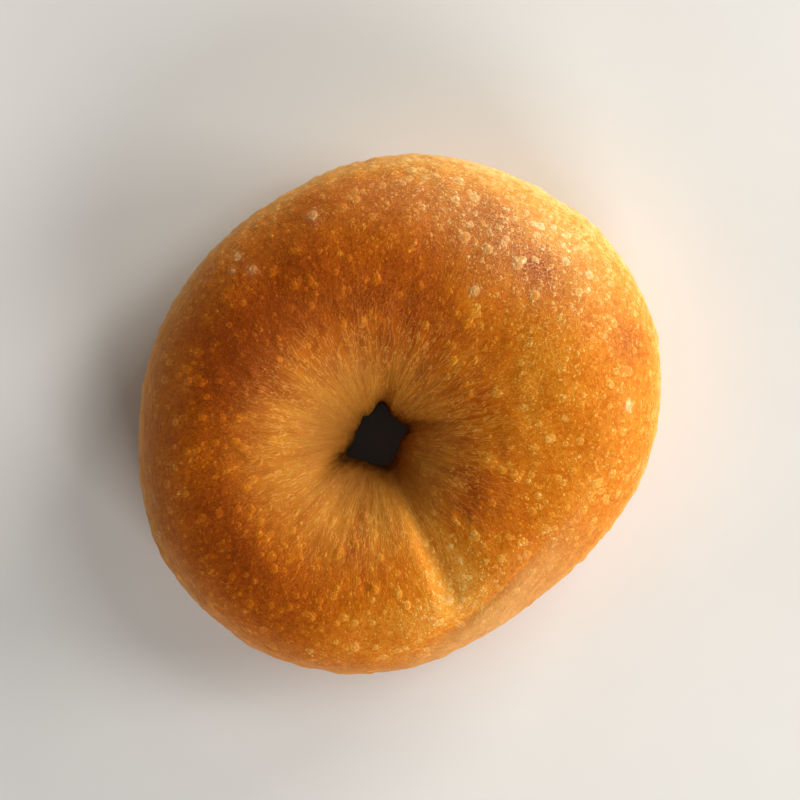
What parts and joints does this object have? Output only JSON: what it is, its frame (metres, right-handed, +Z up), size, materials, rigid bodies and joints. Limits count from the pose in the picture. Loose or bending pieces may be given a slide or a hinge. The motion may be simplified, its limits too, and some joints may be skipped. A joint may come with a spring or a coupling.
{
  "type": "bagel",
  "caption": "Plain baked bagel: a plump ring of bread, a little thicker on one side, with a small pinched hole, a seam across the ring and a flat base.",
  "frame": {"origin": "on the surface that the bagel rests on, under the middle of its bounding box", "axes": "+Z up through the ring; +X and +Y lie in the ring's plane, and the seam runs out from the hole between +X and -Y, nearer to -Y"},
  "size_m": [0.1092, 0.1082, 0.0381],
  "materials": {
    "crust": "golden-brown boiled and baked crust with a satin sheen, fine pale blisters and darker browned patches"
  },
  "bodies": {
    "root": {"bagel": "crust"}
  },
  "joints": []
}
